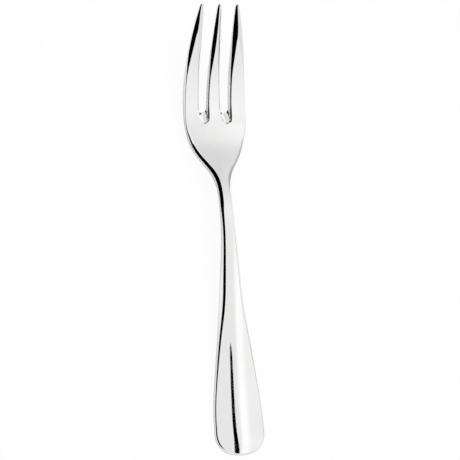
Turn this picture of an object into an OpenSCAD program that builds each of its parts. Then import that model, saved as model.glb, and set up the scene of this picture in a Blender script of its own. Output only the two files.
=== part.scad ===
// Three-tine pastry fork, one piece of polished steel, lying on a table.
// X runs across the fork, Y from the handle's round end towards the tips, Z up.
// The origin is on the table, under the middle of the fork.

/* [Handle] */
// Length of the handle, from its round end to the narrowest point of the neck
handle_len = 82.2; // [70:0.1:110]
// Greatest width of the handle
handle_w = 17.6; // [13:0.1:22]
// Thickness of the handle's end, on its middle line
handle_t = 2.5; // [1.9:0.1:3.5]
// Fall of the handle's crowned front, from the middle line to the edges
handle_crown = 0.8; // [0.2:0.1:1.2]
// Length of the handle's round end, up to the full width
handle_end_len = 7.5; // [5:0.1:10]
// Squareness of the round end in plan, where 2 is half an ellipse
handle_end_power = 2.3; // [2:0.1:3]
// Width of the rounding along the handle's edges
handle_edge = 0.9; // [0.4:0.1:1.5]

/* [Neck] */
// Width of the neck at its narrowest point
neck_w = 4.1; // [3.4:0.1:7]
// Thickness of the neck
neck_t = 3.3; // [2.5:0.1:5]
// Height of the neck's underside above the table
neck_lift = 4.65; // [2:0.1:7]
// Width of the rounding along the neck's edges
neck_edge = 1.3; // [0.5:0.1:1.6]

/* [Head] */
// Length of the head, from the neck to the roots of the slots
head_len = 34.1; // [28:0.1:40]
// Greatest width of the head
head_w = 21.8; // [18:0.1:26]
// Thickness of the head at the roots of the slots
head_t = 2.6; // [1.9:0.1:3.4]
// Distance from the roots of the slots back to the lowest line of the head's underside
head_low = 8.1; // [0:0.1:11]
// Rise of the head's edges above its middle line
head_dish = 1; // [0.3:0.1:2]
// Width of the rounding along the edges of the head and the slots
head_edge = 0.5; // [0.2:0.05:0.8]

/* [Tines] */
// Length of the tines, from the roots of the slots on the underside to the tips
tine_len = 33.7; // [28:0.1:42]
// Height of the tips' underside above the table
tip_lift = 15.3; // [8:0.1:18]
// Distance between the middles of neighbouring tips
tip_pitch = 6.35; // [5.4:0.05:7.5]
// Width of a tip
tip_w = 1.2; // [0.8:0.1:1.8]
// Thickness of a tip
tip_t = 1.3; // [0.9:0.1:1.8]
// Distance between the middles of the two slots, at their roots
slot_pitch = 7.9; // [7:0.1:9]
// Width of a slot at its root
slot_w = 3.3; // [2.4:0.1:4.2]
// How much nearer the neck a slot's root starts on the front than on the underside
slot_ramp = 3.8; // [1:0.1:5]

/* [Underside] */
// Depth of the flats on which the fork rests, under the handle's end and the head
rest_depth = 0.06; // [0.02:0.01:0.15]

/* [Hidden] */

fork_len = handle_len + head_len + tine_len;
root_at = handle_len + head_len;
low_at = root_at - head_low;
slot_r = slot_w / 2;
tip_r = tip_w / 2;

// Widths along the handle, at equal steps: share of the way from neck_w to handle_w
handle_width_shares = [0.97, 1, 0.94, 0.795, 0.635, 0.484, 0.35, 0.232, 0.12, 0.02, 0];
// Widths along the head: share of the way from neck_w to head_w
head_width_shares = [0, 0, 0.016, 0.16, 0.54, 0.79, 0.90, 0.98, 1];
// Widths over the tines: share of the way from the width over the tips to head_w
tine_width_shares = [1, 1, 0.98, 0.925, 0.855, 0.76, 0.635, 0.47, 0.245, 0];

// Heights of the underside along the handle, from the neck to the head's lowest line, and on
// to the tips: shares of neck_lift, neck_lift and tip_lift
handle_lift_shares = [0, 0, 0, 0.11, 0.235, 0.375, 0.535, 0.70, 0.865, 1, 1];
head_lift_shares = [1, 1, 0.88, 0.735, 0.57, 0.385, 0.18, 0, 0];
tine_lift_shares = [0, 0, 0.045, 0.115, 0.21, 0.345, 0.51, 0.683, 0.845, 1];

// Thicknesses: shares of the way from handle_t to neck_t, neck_t to head_t and head_t to tip_t
handle_thick_shares = [0, 0, 0.10, 0.30, 0.60, 0.90, 1, 1];
head_thick_shares = [0, 0, 0.35, 0.80, 1, 1];
tine_thick_shares = [0, 0, 0.08, 0.22, 0.42, 0.70, 1];

// Bow of the front: shares of handle_crown, which falls to the edges, and head_dish, which rises
handle_crown_shares = [1, 1, 0.9, 0.65, 0.4, 0.2, 0.1, 0, 0];
head_dish_shares = [0, 0, 0.2, 0.75, 1, 1];
tine_dish_shares = [1, 1, 0.9, 0.65, 0.35, 0.1, 0];

// Rounding of the edges: shares of the way from handle_edge to neck_edge and neck_edge to head_edge
handle_edge_shares = [0, 0, 0.15, 0.5, 0.9, 1, 1];
head_edge_shares = [0, 0, 0.6, 0.9, 1, 1];
// On the tines, share of the way from head_edge to half of the tine's own width
tine_edge_shares = [0, 0.02, 0.42, 0.88, 1, 1, 1];
// Heights of the rounding on the front and the underside, as shares of the edge's thickness
front_round_shares = [0.45, 0.75];
back_round_share = 0.22;
// Shape of the rounding, where 2 is an ellipse and 1 a flat bevel, on the head and on the tips
round_powers = [2, 1.5];
// Shape of the slots' flare towards the tips, where 1 is an even taper
flare_power = 3;

// Places across one tine's strip, as shares of the rounding's width, from each side
lip_shares = [0, 0.14, 0.5, 1];
// Places across the middle of a strip, between its two roundings
middle_shares = [0.5];
// Angles of the rows round the handle's end, the slots' roots and the tips
end_angles = [5, 13, 22, 32, 44, 58, 73];
root_angles = [0, 20, 40, 62, 90];
tip_angles = [32, 60, 80];
// Rows along the handle, the head and the tines
handle_rows = 18;
head_rows = 13;
tine_rows = 12;
// Most of a strip's half width that the places of one rounding take
lip_limit_share = 0.9;
// Length on each side of a root over which the front's rows are drawn to the neck
ramp_reach_share = 0.33;
ramp_reach = tine_len * ramp_reach_share;

STRIPS = 3;
COLS = 2 * len(lip_shares) + len(middle_shares);

function blend(a, b, share) = a + (b - a) * share;
function blends(a, b, shares) = [for (s = shares) blend(a, b, s)];
function clamp(v, low, high) = min(max(v, low), high);

// Control value i of a list, which goes on straight past both ends
function control(list, i) =
    i < 0 ? 2 * list[0] - list[1]
    : i >= len(list) ? 2 * list[len(list) - 1] - list[len(list) - 2]
    : list[i];

// Cubic B-spline through a list of equally spaced control values, at t from 0 to 1
function spline(list, t) =
    let (x = clamp(t, 0, 1) * (len(list) - 1),
         i = min(floor(x), len(list) - 2),
         f = x - i,
         g = 1 - f)
    (g * g * g * control(list, i - 1)
     + (3 * f * f * f - 6 * f * f + 4) * control(list, i)
     + (3 * g * g * g - 6 * g * g + 4) * control(list, i + 1)
     + f * f * f * control(list, i + 2)) / 6;

// Value at y of three lists, one for the handle, one for the head and one for the tines,
// which meet at the neck and, unless another place is given, at the roots of the slots
function along(lists, y, meet = root_at) =
    y < handle_len ? spline(lists[0], y / handle_len)
    : y < meet ? spline(lists[1], (y - handle_len) / (meet - handle_len))
    : spline(lists[2], (y - meet) / (fork_len - meet));
function lift(y) = along(lift_lists, y, low_at) - rest_depth;

tips_w = 2 * tip_pitch + tip_w;
width_lists = [
    blends(neck_w, handle_w, handle_width_shares),
    blends(neck_w, head_w, head_width_shares),
    blends(tips_w, head_w, tine_width_shares)
];
lift_lists = [
    neck_lift * handle_lift_shares,
    neck_lift * head_lift_shares,
    tip_lift * tine_lift_shares
];
thick_lists = [
    blends(handle_t, neck_t, handle_thick_shares),
    blends(neck_t, head_t, head_thick_shares),
    blends(head_t, tip_t, tine_thick_shares)
];
front_bow_lists = [
    -handle_crown * handle_crown_shares,
    head_dish * head_dish_shares,
    head_dish * tine_dish_shares
];
back_bow_lists = [
    0 * handle_crown_shares,
    head_dish * head_dish_shares,
    head_dish * tine_dish_shares
];
edge_lists = [
    blends(handle_edge, neck_edge, handle_edge_shares),
    blends(neck_edge, head_edge, head_edge_shares),
    blends(head_edge, head_edge, tine_edge_shares)
];
edge_share_lists = [
    0 * handle_edge_shares,
    0 * head_edge_shares,
    tine_edge_shares
];

// How far the handle's end has closed in at y, from 1 at the very end to 0
function end_closing(y) = clamp(1 - y / handle_end_len, 0, 1);
function full_half(y) = along(width_lists, y) / 2;
function half_width(y) =
    let (p = handle_end_power)
    full_half(y) * (1 - end_closing(y) ^ p) ^ (1 / p);

// Distance of each slot's middle line from the fork's own, and a slot's half width
function tine_share(y) = clamp((y - root_at) / tine_len, 0, 1);
function slot_middle(y) =
    y < root_at ? half_width(y) * slot_pitch / head_w
    : blend(slot_pitch, tip_pitch, tine_share(y)) / 2;
function slot_half(y) =
    y < root_at ? 0
    : y < root_at + slot_r ? sqrt(max(slot_r ^ 2 - (root_at + slot_r - y) ^ 2, 0))
    : slot_r + (tip_pitch / 2 - tip_r - slot_r) * tine_share(y) ^ flare_power;

// Left and right edge of strip k, which runs on into tine k, and how far its tip has closed in
function tip_closing(y) = clamp((y - fork_len + tip_r) / tip_r, 0, 1);
function strip_left(k, y) =
    k == 0 ? -half_width(y)
    : k == 1 ? slot_half(y) - slot_middle(y)
    : slot_half(y) + slot_middle(y);
function strip_right(k, y) = -strip_left(STRIPS - 1 - k, y);
function strip_edges(k, y) =
    let (left = strip_left(k, y),
         right = strip_right(k, y),
         middle = (left + right) / 2,
         half = (right - left) / 2 * sqrt(1 - tip_closing(y) ^ 2))
    [middle - half, middle + half];

// Distance from a point to the outline and to a slot
function outer_distance(x, y) =
    let (p = handle_end_power)
    full_half(y) * (1 - (abs(x / full_half(y)) ^ p + end_closing(y) ^ p) ^ (1 / p));
function slot_distance(x, y) =
    let (across = abs(abs(x) - slot_middle(y)))
    y < root_at + slot_r ? norm([across, root_at + slot_r - y]) - slot_r
    : across - slot_half(y);
function tine_half(k, y) = (strip_right(k, y) - strip_left(k, y)) / 2;
function edge_width(k, y) =
    y < root_at + slot_r ? along(edge_lists, y)
    : blend(along(edge_lists, y), tine_half(k, y), along(edge_share_lists, y));

// Fall of a rounding one unit high, at a distance from the edge
function rounding(distance, width, power) =
    1 - (1 - clamp(1 - distance / width, 0, 1) ^ power) ^ (1 / power);

// Bow at a point: nothing on the middle line, and the list's value at the edges
function bow(lists, x, y) = along(lists, y) * ((x / full_half(y)) ^ 2 + end_closing(y) ^ 2);

// Height of the front and the underside at a point of strip k.
// The rounding is set out at y_plan, which the rows of both sides share.
function edge_thickness(x, y) =
    along(thick_lists, y) + bow(front_bow_lists, x, y) - bow(back_bow_lists, x, y);
function edge_fall(k, x, y_plan) =
    rounding(min(outer_distance(x, y_plan), slot_distance(x, y_plan)),
             edge_width(k, y_plan),
             blend(round_powers[0], round_powers[1], along(edge_share_lists, y_plan)));
function front_share(y) =
    blend(front_round_shares[0], front_round_shares[1], along(edge_share_lists, y));
function front_height(k, x, y, y_plan) =
    lift(y) + along(thick_lists, y) + bow(front_bow_lists, x, y)
    - front_share(y_plan) * edge_thickness(x, y) * edge_fall(k, x, y_plan);
function back_height(k, x, y) =
    lift(y) + bow(back_bow_lists, x, y)
    + back_round_share * edge_thickness(x, y) * edge_fall(k, x, y);

// Rows along the fork
function steps(low, high, count) = [for (i = [1 : count]) blend(low, high, i / count)];
row_places = concat(
    [for (a = end_angles) handle_end_len * (1 - cos(a))],
    [handle_end_len],
    steps(handle_end_len, handle_len, handle_rows),
    steps(handle_len, root_at - head_edge, head_rows),
    [for (i = [len(lip_shares) - 2 : -1 : 1]) root_at - lip_shares[i] * head_edge],
    [for (a = root_angles) root_at + slot_r * (1 - cos(a))],
    steps(root_at + slot_r, fork_len - tip_r, tine_rows),
    [for (a = tip_angles) fork_len - tip_r * (1 - sin(a))]
);
ROWS = len(row_places);
ROOT_ROW = len([for (y = row_places) if (y < root_at) y]);

// Place of the front's row that belongs to the underside's row at y
function ramp_hump(y) = (1 + cos(180 * clamp(abs(y - root_at) / ramp_reach, 0, 1))) / 2;
function front_place(y) = y - slot_ramp * ramp_hump(y);

// Places across strip k at y
function across(k, y) =
    let (edges = strip_edges(k, y),
         half = (edges[1] - edges[0]) / 2,
         lip = min(edge_width(k, y), half * lip_limit_share))
    concat(
        [for (s = lip_shares) edges[0] + s * lip],
        [for (s = middle_shares) blend(edges[0] + lip, edges[1] - lip, s)],
        [for (i = [len(lip_shares) - 1 : -1 : 0]) edges[1] - lip_shares[i] * lip]
    );

front_points = [
    for (y = row_places) for (k = [0 : STRIPS - 1]) for (x = across(k, y))
    [x, front_place(y) - fork_len / 2, front_height(k, x, front_place(y), y)]
];
back_points = [
    for (y = row_places) for (k = [0 : STRIPS - 1]) for (x = across(k, y))
    [x, y - fork_len / 2, back_height(k, x, y)]
];

// Number of a point: side 0 is the front. Up to the roots, strips share their inner columns.
function point(side, row, k, col) =
    let (shared = row <= ROOT_ROW && k > 0 && col == 0)
    ((side * ROWS + row) * STRIPS + (shared ? k - 1 : k)) * COLS + (shared ? COLS - 1 : col);

function quad(a, b, c, d) = [[a, b, c], [a, c, d]];
function sheet(side) = [
    for (row = [0 : ROWS - 2]) for (k = [0 : STRIPS - 1]) for (col = [0 : COLS - 2])
    let (a = point(side, row, k, col),
         b = point(side, row + 1, k, col),
         c = point(side, row + 1, k, col + 1),
         d = point(side, row, k, col + 1))
    each side == 0 ? quad(a, b, c, d) : quad(d, c, b, a)
];
function left_wall(k) = [
    for (row = [k == 0 ? 0 : ROOT_ROW : ROWS - 2])
    each quad(point(1, row, k, 0), point(1, row + 1, k, 0), point(0, row + 1, k, 0), point(0, row, k, 0))
];
function right_wall(k) = [
    for (row = [k == STRIPS - 1 ? 0 : ROOT_ROW : ROWS - 2])
    each quad(point(0, row, k, COLS - 1), point(0, row + 1, k, COLS - 1),
              point(1, row + 1, k, COLS - 1), point(1, row, k, COLS - 1))
];
function cap(row) = [
    for (k = [0 : STRIPS - 1]) for (col = [0 : COLS - 2])
    let (a = point(0, row, k, col),
         b = point(0, row, k, col + 1),
         c = point(1, row, k, col + 1),
         d = point(1, row, k, col))
    each row == 0 ? quad(a, b, c, d) : quad(d, c, b, a)
];

module blank() {
    polyhedron(
        points = concat(front_points, back_points),
        faces = concat(
            sheet(0),
            sheet(1),
            [for (k = [0 : STRIPS - 1]) each left_wall(k)],
            [for (k = [0 : STRIPS - 1]) each right_wall(k)],
            cap(0),
            cap(ROWS - 1)
        )
    );
}

// Everything below the table, which cuts the flats
module below_table() {
    translate([-head_w, -fork_len, -neck_t])
    cube([2 * head_w, 2 * fork_len, neck_t]);
}

module fork() {
    color("gainsboro")
    difference() {
        blank();
        below_table();
    }
}

fork();
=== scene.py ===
"""A polished steel pastry fork, lying on a pale table under soft studio light.

The fork starts as a flat blank, a closed mesh in plan, and a geometry node tree presses it to
its heights. Sizes of the fork are in millimetres and Blender's own objects in metres.
"""

import logging
import math
from dataclasses import dataclass
from enum import Enum
from typing import Any, Sequence

import bpy
import numpy as np
from mathutils import Matrix, Vector


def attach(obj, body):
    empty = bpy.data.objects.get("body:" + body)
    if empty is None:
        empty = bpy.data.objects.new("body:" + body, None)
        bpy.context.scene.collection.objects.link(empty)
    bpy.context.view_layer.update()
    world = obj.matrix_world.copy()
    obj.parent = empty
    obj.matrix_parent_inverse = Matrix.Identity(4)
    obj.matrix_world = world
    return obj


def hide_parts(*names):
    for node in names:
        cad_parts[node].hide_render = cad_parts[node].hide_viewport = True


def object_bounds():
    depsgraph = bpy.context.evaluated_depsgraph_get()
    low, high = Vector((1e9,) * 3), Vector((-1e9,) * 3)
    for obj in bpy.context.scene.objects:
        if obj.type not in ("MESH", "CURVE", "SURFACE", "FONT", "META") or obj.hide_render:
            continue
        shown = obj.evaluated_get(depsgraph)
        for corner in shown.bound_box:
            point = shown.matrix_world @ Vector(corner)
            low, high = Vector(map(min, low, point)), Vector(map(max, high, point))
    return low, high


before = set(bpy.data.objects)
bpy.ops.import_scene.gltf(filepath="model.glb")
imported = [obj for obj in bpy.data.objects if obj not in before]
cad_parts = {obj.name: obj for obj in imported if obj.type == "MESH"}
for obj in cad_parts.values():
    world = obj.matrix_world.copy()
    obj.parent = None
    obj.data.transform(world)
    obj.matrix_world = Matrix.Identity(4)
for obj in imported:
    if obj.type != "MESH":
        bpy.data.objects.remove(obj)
CAD_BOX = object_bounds()

LOG = logging.getLogger("pastry_fork")
MM = 0.001
TINY = 1e-6
WHITE = (1.0, 1.0, 1.0, 1.0)
Array = np.ndarray
Shares = tuple[float, ...]
Lists = tuple[Shares, ...]
Span = tuple[float, float]
NOTHING: Shares = (0, 0)


class Side(Enum):
    """The two faces of the blank."""

    FRONT = 0
    BACK = 1


def blend(a: Any, b: Any, share: Any) -> Any:
    """Returns the value that lies a share of the way from a to b."""
    return a + (b - a) * share


def smoothed(share: Array) -> Array:
    """Returns a share from 0 to 1 that starts and ends gently."""
    return share * share * (3 - 2 * share)


def spline(values: Sequence[float], t: Array) -> Array:
    """Runs a cubic B-spline through equally spaced control values.

    Args:
        values: The control values. They go on straight past both ends.
        t: Places along the list, from 0 to 1.

    Returns:
        The spline's value at each place.
    """
    listed = np.asarray(values, float)
    padded = np.concatenate([[2 * listed[0] - listed[1]], listed, [2 * listed[-1] - listed[-2]]])
    x = np.clip(t, 0, 1) * (len(listed) - 1)
    i = np.minimum(np.floor(x).astype(int), len(listed) - 2)
    f = x - i
    g = 1 - f
    return (
        g**3 * padded[i]
        + (3 * f**3 - 6 * f**2 + 4) * padded[i + 1]
        + (3 * g**3 - 6 * g**2 + 4) * padded[i + 2]
        + f**3 * padded[i + 3]
    ) / 6


def quads(first: Array, second: Array) -> Array:
    """Returns the faces between rows of numbered points and the rows next to them."""
    corners = [first[..., :-1], first[..., 1:], second[..., 1:], second[..., :-1]]
    return np.stack(corners, axis=-1).reshape(-1, 4)


def linked(name: str, data: bpy.types.ID) -> bpy.types.Object:
    """Makes an object and puts it in the scene.

    Args:
        name: The object's name.
        data: Its mesh, camera or lamp.

    Returns:
        The object.
    """
    made = bpy.data.objects.new(name, data)
    bpy.context.scene.collection.objects.link(made)
    return made


@dataclass(frozen=True)
class ForkSizes:
    """The fork's sizes, in millimetres, and the shares that its outline and heights follow.

    Lists are of the handle, the head and the tines, or of each tine, and run towards the tips. A
    lip's depth is a share of the metal, and a bevel is a share of half the tine's width.
    """

    handle_len: float = 82.2
    handle_w: float = 17.6
    handle_t: float = 2.5
    handle_crown: float = 0.8
    handle_end_len: float = 7.5
    handle_end_power: float = 2.3
    handle_edge: float = 0.9
    neck_w: float = 4.1
    neck_t: float = 3.3
    neck_lift: float = 4.65
    neck_edge: float = 1.3
    head_len: float = 34.1
    head_w: float = 21.8
    head_t: float = 2.6
    head_low: float = 8.1
    head_dish: float = 1.0
    head_edge: float = 0.5
    tine_len: float = 33.7
    tip_lift: float = 15.3
    tip_pitch: float = 6.35
    tip_w: float = 1.2
    tip_t: float = 1.3
    slot_pitch: float = 7.98
    slot_w: float = 3.42
    slot_ramp: float = 3.8
    rest_depth: float = 0.06

    width_shares: Lists = (
        (0.97, 1, 0.94, 0.795, 0.635, 0.484, 0.35, 0.232, 0.12, 0.02, 0),
        (0, 0, 0.016, 0.16, 0.54, 0.79, 0.9, 0.98, 1),
        (1, 1, 0.98, 0.925, 0.855, 0.76, 0.635, 0.47, 0.245, 0),
    )
    lift_shares: Lists = (
        (0, 0, 0, 0.11, 0.235, 0.375, 0.535, 0.7, 0.865, 1, 1),
        (1, 1, 0.88, 0.735, 0.57, 0.385, 0.18, 0, 0),
        (0, 0, 0.045, 0.115, 0.21, 0.345, 0.51, 0.683, 0.845, 1),
    )
    thick_shares: Lists = (
        (0, 0, 0.1, 0.3, 0.6, 0.9, 1, 1),
        (0, 0, 0.35, 0.8, 1, 1),
        (0, 0, 0.08, 0.22, 0.42, 0.7, 1),
    )
    crown_shares: Lists = ((1, 1, 0.9, 0.65, 0.4, 0.2, 0.1, 0, 0), NOTHING, NOTHING)
    dish_shares: Lists = (NOTHING, (0, 0, 0.2, 0.75, 1, 1), (1, 1, 0.8, 0.5, 0.22, 0.05, 0))
    edge_shares: Lists = ((0, 0, 0.15, 0.5, 0.9, 1, 1), (0, 0, 0.6, 0.9, 1, 1))
    lip_w: Lists = (
        (0.7, 0.55, 0.47, 0.57, 0.73, 0.86, 1.56, 1.26, 0.95, 0.64, 0.62),
        (0.82, 0.86, 1.65, 1.68, 0.55, 0.33),
        (0.239, 0.314, 0.301, 0.372),
    )
    slot_lip_w: float = 0.504
    slot_lip_angles: Span = (-18.0, 12.0)
    slot_lip_run: float = 2.0
    slot_lip_room: float = 1.1
    slot_root_power: float = 1.2
    ramp_step: float = 0.15
    lip_power: Lists = (
        (2, 2, 2, 2, 1.8, 1.4, 1.25, 1.3, 1.4, 1.2, 1.08),
        (1.05, 1.12, 1.2, 1.3, 1.6, 2),
        (2, 1.8, 1.5, 1.25, 1.12, 1.06, 1.04),
    )
    lip_depths: Lists = (
        (0.3, 0.35, 0.35, 0.3, 0.23, 0.4, 0.79, 0.54, 0.325, 0.19, 0.22),
        (0.27, 0.19, 0.27, 0.3, 0.165, 0.2),
        (0.16, 0.28, 0.34, 0.45, 0.42, 0.46, 0.14),
        (0.14, 0.25, 0.32, 0.42, 0.48, 0.55, 0.22),
        (0.13, 0.16, 0.17, 0.22, 0.36, 0.5, 0.27),
    )
    drafts: Lists = (
        (0, 0, 0, 0, 0, 0, 0, 0, 0, -0.03, -0.2),
        (-0.25, -0.17, 0, -0.07, -0.08, 0),
        (0, 0, 0, 0.15, 0.22, 0.18, 0.12),
        (0, -0.08, -0.05, 0.12, 0.06, 0.08, 0.1),
        (0, 0.16, 0.26, 0.36, 0.22, 0.06, 0.12),
    )
    tine_bevels: Lists = (
        (0, 0, 0.03, 0.09, 0.27, 0.52, 0.84, 1, 0.92, 0.4),
        (0, 0, 0.03, 0.04, 0.36, 0.68, 0.8, 0.85, 0.82, 0.45),
        (0, 0, 0, 0.04, 0.26, 0.62, 0.93, 1.05, 1.14, 0.65),
    )
    front_lip: float = 1.0
    back_round_share: float = 0.22
    back_round_power: float = 2.0
    flare_power: float = 3.0
    ramp_reach_share: float = 0.33
    corner_angle: float = 50.0
    easing: float = 1.2

    @property
    def fork_len(self) -> float:
        """Length over all."""
        return self.handle_len + self.head_len + self.tine_len

    @property
    def root_at(self) -> float:
        """Station of the slots' roots on the underside."""
        return self.handle_len + self.head_len

    @property
    def low_at(self) -> float:
        """Station of the head's lowest line."""
        return self.root_at - self.head_low

    @property
    def tip_r(self) -> float:
        """Half width of a tip."""
        return self.tip_w / 2

    @property
    def slot_r(self) -> float:
        """Radius of a slot's root."""
        return self.slot_w / 2


class Profile:
    """A value along the fork, which eases over where its three stretches meet."""

    STEP = 0.05
    BELL_REACH = 4

    def __init__(self, sizes: ForkSizes, lists: Sequence[Sequence[float]],
                 meet: float | None = None) -> None:
        """Samples the three lists along the fork and smooths the line.

        Args:
            sizes: The fork's sizes.
            lists: Control values of the handle, the head and the tines.
            meet: Station where the last two lists meet, or None for the slots' roots.
        """
        meet = sizes.root_at if meet is None else meet
        self.places = np.arange(0, sizes.fork_len + self.STEP, self.STEP)
        starts = (0, sizes.handle_len, meet, sizes.fork_len)
        values = np.zeros_like(self.places)
        for low, high, listed in zip(starts, starts[1:], lists):
            inside = (self.places >= low) & (self.places <= high + self.STEP)
            values[inside] = spline(listed, (self.places[inside] - low) / (high - low))
        self.values = self._eased(values, sizes.easing / self.STEP)

    def _eased(self, values: Array, width: float) -> Array:
        """Smooths a line with a bell-shaped average, and carries it on straight past both ends.

        Args:
            values: The line's samples.
            width: The bell's width, in samples.

        Returns:
            The smooth line's samples.
        """
        reach = int(self.BELL_REACH * width)
        bell = np.exp(-0.5 * (np.arange(-reach, reach + 1) / width) ** 2)
        head = 2 * values[0] - values[reach:0:-1]
        tail = 2 * values[-1] - values[-2 : -reach - 2 : -1]
        return np.convolve(np.concatenate([head, values, tail]), bell / bell.sum(), "valid")

    def at(self, y: Array) -> Array:
        """Returns the value at stations y."""
        return np.interp(y, self.places, self.values)


class Plan:
    """The fork seen in plan: its outline, slots, and how far a point lies from an edge."""

    STRIPS = 3

    def __init__(self, sizes: ForkSizes) -> None:
        """Works out the profiles of the widths, heights and edges.

        Args:
            sizes: The fork's sizes.
        """
        s = sizes
        self.sizes = s
        handle, head, tines = map(np.array, s.width_shares)
        self.width = Profile(s, (
            blend(s.neck_w, s.handle_w, handle),
            blend(s.neck_w, s.head_w, head),
            blend(2 * s.tip_pitch + s.tip_w, s.head_w, tines),
        ))
        handle, head, tines = s.lift_shares
        self.neck_rise = Profile(s, (handle, head, NOTHING), s.low_at)
        self.tip_rise = Profile(s, (NOTHING, NOTHING, tines), s.low_at)
        handle, head, tines = map(np.array, s.thick_shares)
        self.neck_metal = Profile(s, (handle, 1 - head, NOTHING))
        self.head_metal = Profile(s, (NOTHING, head, 1 - tines))
        self.tip_metal = Profile(s, (NOTHING, NOTHING, tines))
        self.crown = Profile(s, s.crown_shares)
        self.dish = Profile(s, s.dish_shares)
        handle, head = map(np.array, s.edge_shares)
        self.edge = Profile(s, (
            blend(s.handle_edge, s.neck_edge, handle),
            blend(s.neck_edge, s.head_edge, head),
            (s.head_edge, s.head_edge),
        ))
        self.lip = Profile(s, s.lip_w)
        self.lip_power = Profile(s, s.lip_power)
        handle, head, *tines = s.lip_depths
        self.lip_depths = [Profile(s, (handle, head, tine)) for tine in tines]
        handle, head, left, *others = s.drafts
        self.drafts = [Profile(s, (handle, head, left))]
        self.drafts += [Profile(s, (NOTHING, NOTHING, tine)) for tine in others]
        self.bevels = [Profile(s, (NOTHING, NOTHING, tine)) for tine in s.tine_bevels]

    @staticmethod
    def by_strip(profiles: Sequence[Profile], y: Array) -> Array:
        """Returns each strip's own profile at stations that lie by row, strip and column."""
        return np.stack([own.at(y[:, strip]) for strip, own in enumerate(profiles)], axis=1)

    def end_closing(self, y: Array) -> Array:
        """Returns how far the round end has closed in, from 1 at the very end to 0."""
        return np.clip(1 - y / self.sizes.handle_end_len, 0, 1)

    def half_width(self, y: Array) -> Array:
        """Returns half the width of the outline."""
        p = self.sizes.handle_end_power
        return self.width.at(y) / 2 * (1 - self.end_closing(y) ** p) ** (1 / p)

    def tine_share(self, y: Array) -> Array:
        """Returns the share of the tines' length that lies behind stations y."""
        return np.clip((y - self.sizes.root_at) / self.sizes.tine_len, 0, 1)

    def slot_middle(self, y: Array) -> Array:
        """Finds the middle line of a slot, which runs on through the head and the handle.

        Args:
            y: Stations.

        Returns:
            Its distance from the fork's own middle line.
        """
        s = self.sizes
        before = self.half_width(y) * s.slot_pitch / s.head_w
        return np.where(y < s.root_at, before, blend(s.slot_pitch, s.tip_pitch, self.tine_share(y)) / 2)

    def slot_half(self, y: Array) -> Array:
        """Finds half the width of a slot, round at its root and flared towards the tips.

        Args:
            y: Stations.

        Returns:
            Half the width, which is 0 before the root.
        """
        s = self.sizes
        into = np.clip(y - s.root_at, 0, s.slot_r)
        arc = np.sqrt(np.maximum(s.slot_r**2 - (s.slot_r - into) ** 2, 0))
        flare = s.slot_r + (s.tip_pitch / 2 - s.tip_r - s.slot_r) * self.tine_share(y) ** s.flare_power
        return np.where(y < s.root_at + s.slot_r, arc, flare)

    def strip_edges(self, strip: int, y: Array) -> tuple[Array, Array]:
        """Finds both edges of a strip, which runs on into the tine of its number.

        Args:
            strip: Number of the strip, from the left.
            y: Stations.

        Returns:
            The left and the right edge.
        """
        s = self.sizes
        middle, half = self.slot_middle(y), self.slot_half(y)
        lefts = (-self.half_width(y), half - middle, half + middle)
        left, right = lefts[strip], -lefts[self.STRIPS - 1 - strip]
        closing = np.clip((y - s.fork_len + s.tip_r) / s.tip_r, 0, 1)
        centre, reach = (left + right) / 2, (right - left) / 2 * np.sqrt(1 - closing**2)
        return centre - reach, centre + reach

    def edge_widths(self, side: Side, strip: int, y: Array) -> tuple[Array, Array]:
        """Finds how wide the edges are rounded on the front or the back.

        Args:
            side: Front or back.
            strip: Number of the strip, from the left.
            y: Stations.

        Returns:
            The width along the outline and the width along the slots.
        """
        s = self.sizes
        left, right = self.strip_edges(strip, np.minimum(y, s.fork_len - s.tip_r))
        bevel, half = self.bevels[strip].at(y), (right - left) / 2
        if side is Side.BACK:
            width = blend(self.edge.at(y), half, np.minimum(bevel, 1))
            return width, width
        outer, inner = blend(self.lip.at(y), half, bevel), blend(s.slot_lip_w, half, bevel)
        to_left, to_right = (outer, inner) if strip == 0 else (inner, outer)
        to_right = np.minimum(to_right, blend(to_right, 2 * half - to_left, np.minimum(bevel, 1)))
        return (to_left, to_right) if strip == 0 else (to_right, to_left)

    def distances(self, x: Array, y: Array) -> tuple[Array, Array]:
        """Finds how far points lie from the edges.

        Args:
            x: Places across.
            y: Stations.

        Returns:
            How far they lie inside the outline, and how far from the slots.
        """
        s = self.sizes
        p = s.handle_end_power
        full = self.width.at(y) / 2
        outer = full * (1 - (np.abs(x / full) ** p + self.end_closing(y) ** p) ** (1 / p))
        across = np.abs(np.abs(x) - self.slot_middle(y))
        at_root = np.hypot(across, s.root_at + s.slot_r - y) - s.slot_r
        return outer, np.where(y < s.root_at + s.slot_r, at_root, across - self.slot_half(y))

    def ramp_share(self, y: Array) -> Array:
        """Returns the share of the metal that the slots' ramp has cut away at stations y."""
        s = self.sizes
        return blend(s.ramp_step, 1, np.clip((y - s.root_at + s.slot_ramp) / s.slot_ramp, 0, 1))

    def slot_lip_share(self, x: Array, y_plan: Array, y: Array) -> Array:
        """Finds how much of the slots' front lip is left where the slots run out on the front.

        Args:
            x: Places across.
            y_plan: Stations in plan, which tell the angle round a slot's root.
            y: Stations on the front.

        Returns:
            A share from 0, no lip, to 1.
        """
        s = self.sizes
        middle = self.slot_middle(y_plan)
        rightwards = np.where(x > 0, x - middle, x + middle)
        ahead = np.maximum(s.root_at + s.slot_r - y_plan, TINY)
        angle = np.degrees(np.arctan2(rightwards, ahead))
        low, high = s.slot_lip_angles
        room = np.minimum(1, s.slot_lip_room * self.ramp_share(y) / self.lip_depths[1].at(y_plan))
        at_right = smoothed(np.clip((angle - low) / (high - low), 0, 1)) * room
        at_left = smoothed(np.clip((y - s.root_at) / s.slot_lip_run, 0, 1))
        return np.where(rightwards > 0, at_right, np.maximum(at_right, at_left))

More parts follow.
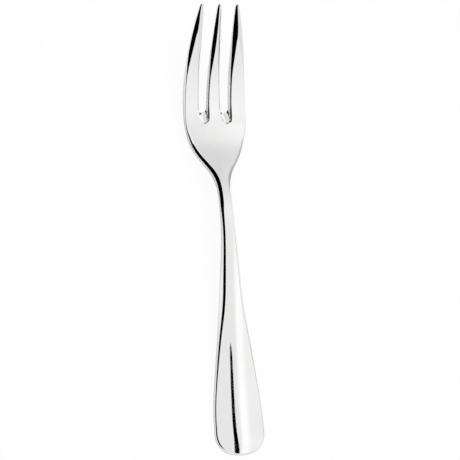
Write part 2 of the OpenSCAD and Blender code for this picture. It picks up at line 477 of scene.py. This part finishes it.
    def front_place(self, y: Array) -> Array:
        """Moves stations of the underside to where they belong on the front.

        Args:
            y: Stations of the underside.

        Returns:
            Stations of the front, which lie nearer the neck round the slots' roots.
        """
        s = self.sizes
        reach = s.tine_len * s.ramp_reach_share
        hump = (1 + np.cos(np.pi * np.clip(np.abs(y - s.root_at) / reach, 0, 1))) / 2
        return y - s.slot_ramp * hump


@dataclass(frozen=True)
class BlankMesh:
    """How finely the blank is divided. Angles in degrees."""

    end_angle: float = 3.0
    root_angle: float = 6.0
    tip_angle: float = 10.0
    handle_rows: int = 150
    head_rows: int = 74
    tine_rows: int = 64
    lip_steps: int = 8
    lip_limit: float = 0.9
    middle_steps: int = 8
    wall_drop_steps: int = 3
    wall_run_steps: int = 5


class Blank:
    """The closed blank in plan, with what each of its points needs for the press and the steel."""

    HEIGHTS = ("neck_rise", "tip_rise", "neck_metal", "head_metal", "tip_metal")
    FOR_PRESS = (*HEIGHTS, "crown_bow", "dish_bow", "front_fall", "back_fall")
    FOR_STEEL = ("up", "wall", "edge")

    def __init__(self, plan: Plan, grid: BlankMesh) -> None:
        """Lays out the rows and numbers the points of one side.

        Args:
            plan: The fork in plan.
            grid: How finely it is divided.
        """
        self.plan = plan
        self.grid = grid
        self.rows = self._row_places()
        self.root_row = int(np.searchsorted(self.rows, plan.sizes.root_at - TINY))
        self.numbers = self._numbers()

    def _row_places(self) -> Array:
        """Lays out the rows, close together where the outline turns.

        Returns:
            The rows' stations.
        """
        s, g = self.plan.sizes, self.grid
        end = np.radians(np.arange(0, 90, g.end_angle))
        lip = np.radians(np.arange(0, 90, 90 / g.lip_steps))[::-1]
        root = np.radians(np.arange(0, 90, g.root_angle))
        tip = np.radians(np.arange(0, 90.01, g.tip_angle))
        return np.concatenate([
            s.handle_end_len * (1 - np.cos(end)),
            np.linspace(s.handle_end_len, s.handle_len, g.handle_rows, endpoint=False),
            np.linspace(s.handle_len, s.root_at - s.head_edge, g.head_rows, endpoint=False),
            s.root_at - s.head_edge * (1 - np.cos(lip[:-1])),
            s.root_at + s.slot_r * (1 - np.cos(root)),
            np.linspace(s.root_at + s.slot_r, s.fork_len - s.tip_r, g.tine_rows, endpoint=False),
            s.fork_len - s.tip_r * (1 - np.sin(tip)),
        ])

    def _numbers(self) -> Array:
        """Numbers the points of one side.

        Returns:
            The numbers by row, strip and column. Up to the roots, strips share inner columns.
        """
        shape = (len(self.rows), Plan.STRIPS, 2 * self.grid.lip_steps + self.grid.middle_steps + 1)
        numbers = np.arange(math.prod(shape)).reshape(shape)
        joined = numbers[: self.root_row + 1]
        joined[:, 1:, 0] = joined[:, :-1, -1]
        return numbers

    def _across(self, strip: int, y: float) -> Array:
        """Divides a strip at one station, close together along its edges.

        Args:
            strip: Number of the strip, from the left.
            y: The station.

        Returns:
            The places across.
        """
        at = np.array([y])
        left, right = (float(e[0]) for e in self.plan.strip_edges(strip, at))
        outline, slot = (float(w[0]) for w in self.plan.edge_widths(Side.FRONT, strip, at))
        most = (right - left) / 2 * self.grid.lip_limit
        lip_left = min(outline if strip == 0 else slot, most)
        lip_right = min(outline if strip == Plan.STRIPS - 1 else slot, most)
        turn = 1 - np.cos(np.linspace(0, math.pi / 2, self.grid.lip_steps + 1))
        middle = np.linspace(left + lip_left, right - lip_right, self.grid.middle_steps + 1)[1:-1]
        return np.concatenate([left + lip_left * turn, middle, right - lip_right * turn[::-1]])

    def build(self) -> bpy.types.Object:
        """Makes the blank.

        Returns:
            A mesh object, flat in plan, with its attributes.
        """
        x = np.array([[self._across(k, y) for k in range(Plan.STRIPS)] for y in self.rows])
        y = np.broadcast_to(self.rows[:, None, None], x.shape)
        front = self._facts(x, self.plan.front_place(y), y, Side.FRONT)
        back = self._facts(x, y, y, Side.BACK)
        above, runs, drops, walls = self._walls(front["front_fall"])
        values = {}
        for name in front:
            sides = np.concatenate([front[name].ravel(), back[name].ravel()])
            between = blend(sides[above], sides[above + x.size], runs if name == "y" else drops)
            values[name] = np.concatenate([sides, between])
        values["wall"][2 * x.size :] = 1.0
        return self._object(values, np.concatenate([*map(self._sheet, Side), walls]))

    def _facts(self, x: Array, y: Array, y_plan: Array, side: Side) -> dict[str, Array]:
        """Works out places and attributes of one side's points.

        Args:
            x: Places across.
            y: Stations where the points lie.
            y_plan: Stations at which the edge's rounding is set out.
            side: Front or back.

        Returns:
            One array for each name.
        """
        plan, s = self.plan, self.plan.sizes
        bow = (2 * x / plan.width.at(y)) ** 2 + plan.end_closing(y) ** 2
        widths = [plan.edge_widths(side, k, y_plan[:, k]) for k in range(Plan.STRIPS)]
        outline, slot = (np.stack(w, axis=1) for w in zip(*widths))
        from_outline, from_slot = plan.distances(x, y_plan)
        is_front = side is Side.FRONT
        power = slot_power = s.back_round_power
        left = 1.0
        if is_front:
            power = plan.lip_power.at(y_plan)
            slot_power = blend(s.slot_root_power, power, np.clip((y - s.root_at) / s.slot_lip_run, 0, 1))
            left = plan.slot_lip_share(x, y_plan, y)
        slot_fall = self._fall(from_slot / slot, slot_power) * left
        fall = np.maximum(self._fall(from_outline / outline, power), slot_fall)
        drafts = plan.by_strip(plan.drafts, y_plan)
        drafts[:, 1:] *= np.clip((y_plan[:, 1:] - s.root_at) / s.slot_lip_run, 0, 1)
        leftness = (x[..., -1:] - x) / np.maximum(x[..., -1:] - x[..., :1], TINY)
        return {name: getattr(plan, name).at(y) for name in self.HEIGHTS} | {
            "x": x + is_front * drafts * leftness,
            "y": y,
            "crown_bow": plan.crown.at(y) * bow,
            "dish_bow": plan.dish.at(y) * bow,
            "front_fall": fall * plan.by_strip(plan.lip_depths, y_plan) * is_front,
            "back_fall": fall * (not is_front),
            "up": np.full_like(x, float(is_front)),
            "wall": np.zeros_like(x),
            "edge": fall,
        }

    @staticmethod
    def _fall(place: Array, power: Any) -> Array:
        """Returns the fall of a rounded edge, from 1 at place 0 to 0 at place 1 and beyond."""
        inside = np.clip(1 - place, 0, 1)
        return 1 - (1 - inside**power) ** (1 / power)

    def _sheet(self, side: Side) -> Array:
        """Finds the faces of one side, turned outwards.

        Args:
            side: Front or back.

        Returns:
            The faces' points by number.
        """
        numbers = self.numbers + side.value * self.numbers.size
        faces = quads(numbers[:-1], numbers[1:])
        return faces if side is Side.FRONT else faces[:, ::-1]

    def _rim(self) -> Array:
        """Walks round the outline and the slots, with the metal on the left.

        Returns:
            The loop of front points by number.
        """
        numbers, root = self.numbers, self.root_row
        runs = [numbers[::-1, 0, 0], numbers[0].ravel(), numbers[:, -1, -1]]
        for k in range(Plan.STRIPS - 1, -1, -1):
            runs.append(numbers[-1, k, ::-1])
            if k > 0:
                runs += [numbers[: root - 1 : -1, k, 0], numbers[root:, k - 1, -1]]
        rim = np.concatenate(runs)
        return rim[rim != np.roll(rim, 1)]

    def _drops(self, fallen: Array) -> Array:
        """Finds how far each rim point's wall drops before it runs on as a ramp.

        Args:
            fallen: The share of the metal that the front's lip has fallen, by row, strip and column.

        Returns:
            A share of the wall for each point, or -1 where the wall is plain.
        """
        cut = self.plan.ramp_share(self.plan.front_place(self.rows))[:, None, None]
        left = 1 - fallen - self.plan.sizes.back_round_share
        shares = np.maximum(cut - fallen, 0) / np.maximum(left, TINY)
        shares = np.where(shares < 1, shares, -1.0)
        drops = np.full(fallen.shape, -1.0)
        drops[self.root_row :, 1:, 0] = shares[self.root_row :, 1:, 0]
        drops[self.root_row :, :-1, -1] = shares[self.root_row :, :-1, -1]
        return drops.ravel()

    def _ladder(self, drop: float) -> list[Span]:
        """Sets out the steps of one wall between front and back.

        Args:
            drop: The share that the wall drops before it runs on, or -1 where it is plain.

        Returns:
            Each step's share of the run and of the drop.
        """
        falls, runs = self.grid.wall_drop_steps, self.grid.wall_run_steps
        steps = falls + runs
        if drop < 0:
            return [(i / steps, i / steps) for i in range(1, steps)]
        down = [(0.0, drop * i / falls) for i in range(1, falls + 1)]
        along = [(i / runs, blend(drop, 1, i / runs)) for i in range(1, runs)]
        return down + along

    def _walls(self, fallen: Array) -> tuple[Array, ...]:
        """Joins both sides along their rims, with points between each front point and its back one.

        Args:
            fallen: The share of the metal that the front's lip has fallen at each point.

        Returns:
            The points' front points, shares of the run and shares of the drop, and the faces.
        """
        rim = self._rim()
        shares = np.array([self._ladder(drop) for drop in self._drops(fallen)[rim]])
        made = 2 * fallen.size + np.arange(shares[..., 0].size).reshape(len(rim), -1)
        ladders = np.column_stack([rim, made, rim + fallen.size])
        faces = quads(np.roll(ladders, 1, axis=0), ladders)
        return np.repeat(rim, made.shape[1]), *shares.reshape(-1, 2).T, faces

    def _object(self, values: dict[str, Array], faces: Array) -> bpy.types.Object:
        """Makes the mesh object of the points that the faces use.

        Args:
            values: Places and attributes of the points.
            faces: The faces' points by number.

        Returns:
            The object.
        """
        ends = (CAD_BOX[0][1], CAD_BOX[1][1])
        lengthwise = blend(*ends, values["y"] / self.plan.sizes.fork_len)
        co = np.stack([values["x"] * MM, lengthwise, np.zeros_like(lengthwise)], axis=1)
        used, order = np.unique(faces, return_inverse=True)
        mesh = bpy.data.meshes.new("fork_blank")
        mesh.from_pydata(co[used].tolist(), [], order.reshape(faces.shape).tolist())
        for name in self.FOR_PRESS + self.FOR_STEEL:
            layer = mesh.attributes.new(name, "FLOAT", "POINT")
            layer.data.foreach_set("value", values[name][used].astype(np.float32))
        return linked("fork_blank", mesh)


class Wire:
    """A socket that can be used in an expression, where each operator adds its Math node."""

    def __init__(self, kit: "NodeKit", socket: bpy.types.NodeSocket) -> None:
        self.kit = kit
        self.socket = socket

    def __add__(self, other: Any) -> "Wire":
        """Sum."""
        return self.kit.math("ADD", self, other)

    def __sub__(self, other: Any) -> "Wire":
        """Difference."""
        return self.kit.math("SUBTRACT", self, other)

    def __rsub__(self, other: Any) -> "Wire":
        """Reflected difference."""
        return self.kit.math("SUBTRACT", other, self)

    def __mul__(self, other: Any) -> "Wire":
        """Product."""
        return self.kit.math("MULTIPLY", self, other)

    __radd__ = __add__
    __rmul__ = __mul__


class NodeKit:
    """Builds the nodes of one tree."""

    def __init__(self, tree: bpy.types.NodeTree) -> None:
        """Takes the tree to build in."""
        self.tree = tree

    @classmethod
    def of(cls, owner: bpy.types.Material | bpy.types.World) -> "NodeKit":
        """Gives a material or a world an empty tree.

        Args:
            owner: The material or world.

        Returns:
            A kit that builds in that tree.
        """
        owner.use_nodes = True
        owner.node_tree.nodes.clear()
        return cls(owner.node_tree)

    def node(self, kind: str, settings: dict[str, Any] | None = None,
             sockets: dict[int | str, Any] | None = None, out: int | str = 0) -> Wire:
        """Adds a node.

        Args:
            kind: The node's type.
            settings: Its settings, such as a Math node's operation, which are set first.
            sockets: Values or wires of its inputs, by number or name.
            out: Which output is returned.

        Returns:
            The output, wrapped, or the first input where a node has no outputs.
        """
        made = self.tree.nodes.new(kind)
        for name, value in (settings or {}).items():
            setattr(made, name, value)
        for name, value in (sockets or {}).items():
            if isinstance(value, Wire):
                self.tree.links.new(value.socket, made.inputs[name])
            else:
                made.inputs[name].default_value = value
        return Wire(self, made.outputs[out] if made.outputs else made.inputs[0])

    def math(self, operation: str, *values: Any) -> Wire:
        """Adds a Math node of the given operation."""
        return self.node("ShaderNodeMath", {"operation": operation}, dict(enumerate(values)))

    def parts(self, vector: Wire) -> tuple[Wire, ...]:
        """Returns a vector's three parts."""
        first = self.node("ShaderNodeSeparateXYZ", None, {0: vector})
        return tuple(Wire(self, output) for output in first.socket.node.outputs)

    def step(self, value: Wire, start: float, stop: float, kind: str = "SMOOTHSTEP") -> Wire:
        """Returns a step from 0 at start to 1 at stop, smooth unless the kind says LINEAR."""
        sockets = {"Value": value, "From Min": start, "From Max": stop}
        return self.node("ShaderNodeMapRange", {"interpolation_type": kind}, sockets)

    def noise(self, vector: Wire, scale: float, detail: float = 1.0) -> Wire:
        """Returns a noise texture's value."""
        return self.node("ShaderNodeTexNoise", None, {"Vector": vector, "Scale": scale, "Detail": detail})

    def rays(self) -> tuple[Wire, Wire]:
        """Tells rays apart, so that steel mirrors another studio than the camera sees.

        Returns:
            1 for rays from the camera or through glass, and 1 for mirrored rays.
        """
        camera, glossy, through = (self.node("ShaderNodeLightPath", out=f"Is {kind} Ray")
                                   for kind in ("Camera", "Glossy", "Transmission"))
        return camera + through, glossy


class PressTree:
    """The node tree that presses the flat blank to the fork's heights."""

    WELD = 2e-7

    def __init__(self, sizes: ForkSizes) -> None:
        """Sets the tree's inputs, with lengths in metres and the angle in radians.

        Args:
            sizes: The fork's sizes.
        """
        self.inputs = {
            "Neck lift": sizes.neck_lift * MM,
            "Tip lift": sizes.tip_lift * MM,
            "Handle metal": sizes.handle_t * MM,
            "Neck metal": sizes.neck_t * MM,
            "Head metal": sizes.head_t * MM,
            "Tip metal": sizes.tip_t * MM,
            "Crown": sizes.handle_crown * MM,
            "Dish": sizes.head_dish * MM,
            "Rest depth": sizes.rest_depth * MM,
            "Front lip": sizes.front_lip,
            "Back rounding": sizes.back_round_share,
            "Corner": math.radians(sizes.corner_angle),
        }

    def build(self, material: bpy.types.Material) -> bpy.types.GeometryNodeTree:
        """Builds the tree.

        Args:
            material: The steel's material.

        Returns:
            The node tree.
        """
        tree = bpy.data.node_groups.new("press", "GeometryNodeTree")
        tree.interface.new_socket("Blank", in_out="INPUT", socket_type="NodeSocketGeometry")
        for name in self.inputs:
            tree.interface.new_socket(name, in_out="INPUT", socket_type="NodeSocketFloat")
        tree.interface.new_socket("Fork", in_out="OUTPUT", socket_type="NodeSocketGeometry")
        kit = NodeKit(tree)
        source = tree.nodes.new("NodeGroupInput")
        sink = tree.nodes.new("NodeGroupOutput")
        given = {name: Wire(kit, source.outputs[name]) for name in self.inputs}
        height = self._height(kit, given)
        blank = Wire(kit, source.outputs["Blank"])
        x, y, _ = kit.parts(kit.node("GeometryNodeInputPosition"))
        raised = kit.node("ShaderNodeCombineXYZ", None, {0: x, 1: y, 2: height})
        pressed = kit.node("GeometryNodeSetPosition", None, {"Geometry": blank, "Position": raised})
        welded = kit.node("GeometryNodeMergeByDistance", None, {"Geometry": pressed, "Distance": self.WELD})
        smooth = kit.node("GeometryNodeSetShadeSmooth", None, {"Geometry": welded})
        turned = kit.node("GeometryNodeInputMeshEdgeAngle")
        corner = kit.node("FunctionNodeCompare", {"operation": "GREATER_THAN"},
                          {0: turned, 1: given["Corner"]})
        crisp = kit.node("GeometryNodeSetShadeSmooth", {"domain": "EDGE"},
                         {"Geometry": smooth, "Selection": corner, "Shade Smooth": False})
        real = kit.node("GeometryNodeRealizeInstances", None, {"Geometry": crisp})
        dressed = kit.node("GeometryNodeSetMaterial", None, {"Geometry": real, "Material": material})
        tree.links.new(dressed.socket, sink.inputs["Fork"])
        return tree

    @staticmethod
    def _height(kit: NodeKit, given: dict[str, Wire]) -> Wire:
        """Works out the height of each point above the table.

        Args:
            kit: The tree's kit.
            given: The tree's inputs by name.

        Returns:
            The height.
        """

        def read(name: str) -> Wire:
            """Reads one of the blank's attributes."""
            return kit.node("GeometryNodeInputNamedAttribute", None, {"Name": name})

        neck, head, tip = read("neck_metal"), read("head_metal"), read("tip_metal")
        handle = 1 - neck - head - tip
        metal = (given["Handle metal"] * handle + given["Neck metal"] * neck
                 + given["Head metal"] * head + given["Tip metal"] * tip)
        dish = given["Dish"] * read("dish_bow")
        crown = given["Crown"] * read("crown_bow")
        edge_metal = metal - crown
        lift = given["Neck lift"] * read("neck_rise") + given["Tip lift"] * read("tip_rise")
        front_fall = given["Front lip"] * edge_metal * read("front_fall")
        back_fall = given["Back rounding"] * edge_metal * read("back_fall")
        height = lift - given["Rest depth"] + dish + read("up") * edge_metal - front_fall + back_fall
        return kit.math("MAXIMUM", height, 0.0)


@dataclass(frozen=True)
class Hairlines:
    """Fine scratches of one direction, in patches. Turn in degrees, sizes in millimetres."""

    turn: float
    width: float
    length: float
    share: float
    line_level: float = 0.03
    patch_scale: float = 260.0
    patch_fade: float = 0.1

    def build(self, kit: NodeKit, place: Wire) -> Wire:
        """Draws the scratches.

        Args:
            place: Object coordinates.

        Returns:
            1 inside a scratch and 0 elsewhere.
        """
        scale = (1 / (self.width * MM), 1 / (self.length * MM), 1 / (self.length * MM))
        turn = (0.0, 0.0, math.radians(self.turn))
        turned = kit.node("ShaderNodeMapping", None, {"Vector": place, "Rotation": turn})
        drawn = kit.node("ShaderNodeMapping", None, {"Vector": turned, "Scale": scale})
        grain = kit.noise(drawn, 1.0)
        patch = kit.noise(turned, self.patch_scale)
        line = kit.step(kit.math("ABSOLUTE", grain - 0.5), self.line_level, 0.0)
        return line * kit.step(patch, 1 - self.share, 1 + self.patch_fade - self.share)


@dataclass(frozen=True)
class PolishedSteel:
    """Mirror-polished stainless steel with fine wear, and satin where the slots are cut.

    The blank's attributes tell where the edges are rounded, where the walls are, and which side is up.
    """

    clean: tuple[float, float, float] = (0.935, 0.933, 0.93)
    dull: tuple[float, float, float] = (0.905, 0.903, 0.9)
    mirror_roughness: float = 0.03
    smudge_roughness: float = 0.02
    edge_roughness: float = 0.02
    hair_roughness: float = 0.05
    back_roughness: float = 0.03
    cut_roughness: float = 0.1
    smudge_scale: float = 90.0
    smudge_detail: float = 3.0
    film_levels: Span = (0.42, 0.62)
    film_share: float = 0.5
    wear_share: float = 0.25
    wave_scale: float = 110.0
    relief: float = 2e-6
    hair_depth: float = 0.1
    hairlines: tuple[Hairlines, ...] = (
        Hairlines(4.0, 0.06, 5.0, 0.5), Hairlines(-9.0, 0.05, 3.5, 0.46),
        Hairlines(38.0, 0.05, 2.5, 0.4), Hairlines(-63.0, 0.05, 2.0, 0.38),
    )

    def build(self) -> bpy.types.Material:
        """Builds the material.

        Returns:
            The material.
        """
        material = bpy.data.materials.new("polished_steel")
        kit = NodeKit.of(material)
        place = kit.node("ShaderNodeTexCoord", out="Object")
        wall, edge, up = (kit.node("ShaderNodeAttribute", {"attribute_name": name}, out="Fac")
                          for name in ("wall", "edge", "up"))
        smudge = kit.noise(place, self.smudge_scale, self.smudge_detail)
        wave = kit.noise(place, self.wave_scale)
        hair = self.hairlines[0].build(kit, place)
        for more in self.hairlines[1:]:
            hair = kit.math("MAXIMUM", hair, more.build(kit, place))
        mirror = (smudge * self.smudge_roughness + edge * self.edge_roughness + hair * self.hair_roughness
                  + (1 - up) * self.back_roughness + (self.mirror_roughness - self.smudge_roughness / 2))
        film = (kit.step(smudge, *self.film_levels) * self.film_share
                + hair * self.wear_share + edge * self.wear_share)
        colour = kit.node("ShaderNodeMix", {"data_type": "RGBA"},
                          {0: film, 6: (*self.clean, 1.0), 7: (*self.dull, 1.0)}, out=2)
        bump = kit.node("ShaderNodeBump", None, {
            "Strength": 1.0,
            "Distance": self.relief,
            "Height": wave - hair * self.hair_depth,
        })
        surface = kit.node("ShaderNodeBsdfPrincipled", None, {
            "Base Color": colour,
            "Metallic": 1.0,
            "Roughness": mirror * (1 - wall) + self.cut_roughness * wall,
            "Normal": bump,
        })
        kit.node("ShaderNodeOutputMaterial", None, {"Surface": surface})
        return material


@dataclass(frozen=True)
class Fork:
    """The fork itself."""

    sizes: ForkSizes = ForkSizes()
    steel: PolishedSteel = PolishedSteel()

    def build(self) -> bpy.types.Object:
        """Presses the blank and puts it in the frame.

        Returns:
            The finished piece.
        """
        blank = Blank(Plan(self.sizes), BlankMesh()).build()
        press = PressTree(self.sizes)
        modifier = blank.modifiers.new("press", "NODES")
        modifier.node_group = press.build(self.steel.build())
        for item in modifier.node_group.interface.items_tree:
            if item.name in press.inputs:
                modifier[item.identifier] = press.inputs[item.name]
        graph = bpy.context.evaluated_depsgraph_get()
        mesh = bpy.data.meshes.new_from_object(blank.evaluated_get(graph))
        bpy.data.objects.remove(blank)
        mesh.name = "polished_fork"
        piece = linked("polished_fork", mesh)
        for name in Blank.FOR_PRESS:
            mesh.attributes.remove(mesh.attributes[name])
        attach(piece, "root")
        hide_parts("fork")
        return piece


@dataclass(frozen=True)
class PhotoCamera:
    """A long lens above the fork, towards its left side and its handle."""

    lean: float = 22.0
    tilt: float = 11.06
    roll: float = 4.958
    distance: float = 0.9
    pixels_a_metre: float = 3000.66
    image_px: float = 460.0
    middle_px: Span = (226.767, 230.126)
    target_height: float = 0.005
    sensor_mm: float = 36.0
    clip: Span = (0.05, 20.0)

    def build(self) -> None:
        """Makes the camera and makes it the scene's own."""
        lean, tilt, roll = (math.radians(a) for a in (self.lean, self.tilt, self.roll))
        back = Vector((-math.sin(lean) * math.cos(tilt), -math.sin(tilt), math.cos(lean) * math.cos(tilt)))
        level = Vector((0, 1, 0)).cross(back).normalized()
        rise = back.cross(level)
        right = math.cos(roll) * level - math.sin(roll) * rise
        up = math.sin(roll) * level + math.cos(roll) * rise
        half = self.image_px / 2
        aside = (half - self.middle_px[0]) / self.pixels_a_metre
        above = (self.middle_px[1] - half) / self.pixels_a_metre
        target = Vector((0, 0, self.target_height)) + right * aside + up * above
        data = bpy.data.cameras.new("photo_camera")
        data.sensor_width = self.sensor_mm
        data.lens = self.sensor_mm * self.distance * self.pixels_a_metre / self.image_px
        data.clip_start, data.clip_end = self.clip
        camera = linked("photo_camera", data)
        turn = Matrix((right, up, back)).transposed()
        camera.matrix_world = Matrix.Translation(target + back * self.distance) @ turn.to_4x4()
        bpy.context.scene.camera = camera


@dataclass(frozen=True)
class Tent:
    """The white tent round the fork, as polished steel mirrors it.

    Directions are told by two angles in degrees: across, which runs from the right (0) over the top
    (90) to the left (180), and along, which rises from the handle's side to the tines' side. Each
    span gives the angles where a change of brightness starts and where it is complete.
    """

    ambient: float = 0.75
    top: float = 0.98
    panel_across: Span = (105, 176)
    panel_along: Span = (-46, 36)
    panel_soft: float = 3.0
    panel_lean: float = 13.0
    lean_along: Span = (6, 18)
    tines_loss: float = 0.235
    tines_along: Span = (-4, 46)
    handle_loss: float = 0.12
    handle_along: Span = (-4, -37)
    right_loss: float = 0.03
    right_across: Span = (64, 58)
    head_gain: float = 0.09
    head_across: Span = (66, 86)
    head_along: Span = (4, 12)
    low_loss: float = 0.12
    low_across: Span = (48, 30)
    lowest_loss: float = 0.28
    lowest_across: Span = (42, 22)
    lowest_start: Span = (-6, 3)
    lowest_end: Span = (34, 26)

    def build(self) -> None:
        """Makes the world."""
        world = bpy.data.worlds.new("tent")
        bpy.context.scene.world = world
        kit = NodeKit.of(world)
        mirrored = self._mirrored(kit)
        seen, glossy = kit.rays()
        strength = seen + glossy * mirrored + (1 - seen - glossy) * self.ambient
        ground = kit.node("ShaderNodeBackground", None, {"Color": WHITE, "Strength": strength})
        kit.node("ShaderNodeOutputWorld", None, {"Surface": ground})

    def _mirrored(self, kit: NodeKit) -> Wire:
        """Works out how bright the tent is, all round.


        Returns:
            The brightness that the steel mirrors from each direction.
        """
        x, y, z = kit.parts(kit.node("ShaderNodeTexCoord", out="Generated"))
        degrees = 180 / math.pi
        across = kit.math("ARCTAN2", z, x) * degrees
        along = kit.math("ARCSINE", y) * degrees
        soft = self.panel_soft
        low, high = self.panel_across
        lean = self.panel_lean * kit.step(along, *self.lean_along)
        panel = kit.step(across + lean, low - soft, low + soft) * kit.step(across, high + soft, high - soft)
        low, high = self.panel_along
        panel = panel * kit.step(along, low - soft, low + soft) * kit.step(along, high + soft, high - soft)
        level = self.top - self.tines_loss * kit.step(along, *self.tines_along, "LINEAR")
        level -= self.handle_loss * kit.step(along, *self.handle_along, "LINEAR")
        level -= self.right_loss * kit.step(across, *self.right_across)
        head = kit.step(across, *self.head_across, "LINEAR")
        level += self.head_gain * head * kit.step(along, *self.head_along)
        level -= self.low_loss * kit.step(across, *self.low_across)
        lowest = kit.step(along, *self.lowest_start) * kit.step(along, *self.lowest_end)
        level -= self.lowest_loss * kit.step(across, *self.lowest_across) * lowest
        return level * (1 - panel)


def flat_sheet(name: str, corners: Sequence[Span], height: float,
               material: bpy.types.Material) -> bpy.types.Object:
    """Makes a level sheet for the studio.

    Args:
        name: The sheet's name.
        corners: Its corners in plan, in metres.
        height: Its height above the table, in metres.
        material: What it is made of.

    Returns:
        The sheet.
    """
    mesh = bpy.data.meshes.new(name)
    mesh.from_pydata([(x, y, height) for x, y in corners], [], [tuple(range(len(corners)))])
    mesh.materials.append(material)
    return linked(name, mesh)


def oblong(x: Span, y: Span) -> tuple[Span, ...]:
    """Returns the corners of a rectangle."""
    return (x[0], y[0]), (x[1], y[0]), (x[1], y[1]), (x[0], y[1])


@dataclass(frozen=True)
class Card:
    """A card above the fork, which only the steel's reflections show. In millimetres."""

    name: str
    tone: float
    height: float
    outline: tuple[Span, ...]
    fade_x: Shares = ()
    fade_y: Shares = ()

    def build(self) -> None:
        """Makes the card."""
        corners = [(x * MM, y * MM) for x, y in self.outline]
        card = flat_sheet(self.name, corners, self.height * MM, self._material())
        card.visible_camera = False
        card.visible_diffuse = False
        card.visible_shadow = False

    def _material(self) -> bpy.types.Material:
        """Makes the card's own glow, which fades away towards its soft edges.

        Returns:
            The material.
        """
        material = bpy.data.materials.new(self.name)
        kit = NodeKit.of(material)
        glow = kit.node("ShaderNodeEmission", None, {"Color": WHITE, "Strength": self.tone})
        x, y, _ = kit.parts(kit.node("ShaderNodeTexCoord", out="Object"))
        share = 1.0
        if self.fade_x:
            a, b, c, d = (v * MM for v in self.fade_x)
            share = kit.step(x, a, b) * kit.step(x, d, c)
        if self.fade_y:
            a, b = (v * MM for v in self.fade_y)
            share = kit.step(y, a, b) * share
        clear = kit.node("ShaderNodeBsdfTransparent")
        surface = kit.node("ShaderNodeMixShader", None, {0: share, 1: clear, 2: glow})
        kit.node("ShaderNodeOutputMaterial", None, {"Surface": surface})
        return material


CARDS = (
    Card("bar", 0.0, 60.0, (
        (15.1, -39.6), (14, -41.3), (13.5, -44), (13, -50), (12.7, -58), (12.8, -72), (13.4, -90),
        (13.4, -115), (21.2, -115), (20, -86), (18.2, -72), (17, -57), (16.8, -50), (16.8, -44),
        (16.3, -41.3),
    )),
    Card("grey_card", 0.86, 61.0, oblong((-14, 28), (-120, 24)), (-14, -13.9, 20.5, 27), (22, 4)),
    Card("white_card", 1.06, 62.0, oblong((19, 42), (-120, 24)), (20, 25, 30, 41), (22, 4)),
    Card("far_white_card", 1.04, 60.0, oblong((-260, 240), (104, 300)), (), (105, 111)),
    Card("far_black_card", 0.0, 59.0, (
        (-100, 104), (-60, 104), (-50, 88), (-20, 86), (-14, 106), (24, 106), (50, 124), (75, 190),
        (120, 250), (120, 300), (-100, 300),
    )),
)


@dataclass(frozen=True)
class Floor:
    """The pale floor, nearly white to the camera and with a soft shadow. In metres."""

    half: float = 2.0
    tone: float = 0.85
    camera_white: float = 0.93
    mirror_white: float = 0.1

    def build(self) -> None:
        """Makes the floor."""
        material = bpy.data.materials.new("floor")
        kit = NodeKit.of(material)
        matt = kit.node("ShaderNodeBsdfDiffuse", None, {"Color": (self.tone, self.tone, self.tone, 1)})
        white = kit.node("ShaderNodeEmission", None, {"Color": WHITE, "Strength": 1.0})
        seen, glossy = kit.rays()
        share = seen * self.camera_white + glossy * self.mirror_white
        surface = kit.node("ShaderNodeMixShader", None, {0: share, 1: matt, 2: white})
        kit.node("ShaderNodeOutputMaterial", None, {"Surface": surface})
        reach = (-self.half, self.half)
        floor = flat_sheet("floor", oblong(reach, reach), 0.0, material)


@dataclass(frozen=True)
class SoftLamp:
    """A wide lamp high above, which gives the floor's shadow its lean. In metres."""

    place: tuple[float, float, float] = (0.5, 0.3, 1.2)
    width: float = 1.2
    watts: float = 8.0

    def build(self) -> None:
        """Makes the lamp."""
        data = bpy.data.lights.new("soft_lamp", "AREA")
        data.size = self.width
        data.energy = self.watts
        lamp = linked("soft_lamp", data)
        lamp.location = self.place
        lamp.rotation_euler = Vector(self.place).to_track_quat("Z", "Y").to_euler()
        lamp.visible_glossy = False
        lamp.visible_camera = False


def main() -> None:
    """Builds the camera, the fork and the studio, in that order."""
    logging.basicConfig(level=logging.INFO, format="%(name)s: %(message)s")
    PhotoCamera().build()
    piece = Fork().build()
    LOG.info("%s: %d points, %d faces", piece.name, len(piece.data.vertices), len(piece.data.polygons))
    bpy.context.scene.view_settings.view_transform = "Standard"
    for stage_piece in (Tent(), Floor(), SoftLamp(), *CARDS):
        stage_piece.build()
        LOG.info("%s built", getattr(stage_piece, "name", type(stage_piece).__name__))


if __name__ == "__main__":
    main()
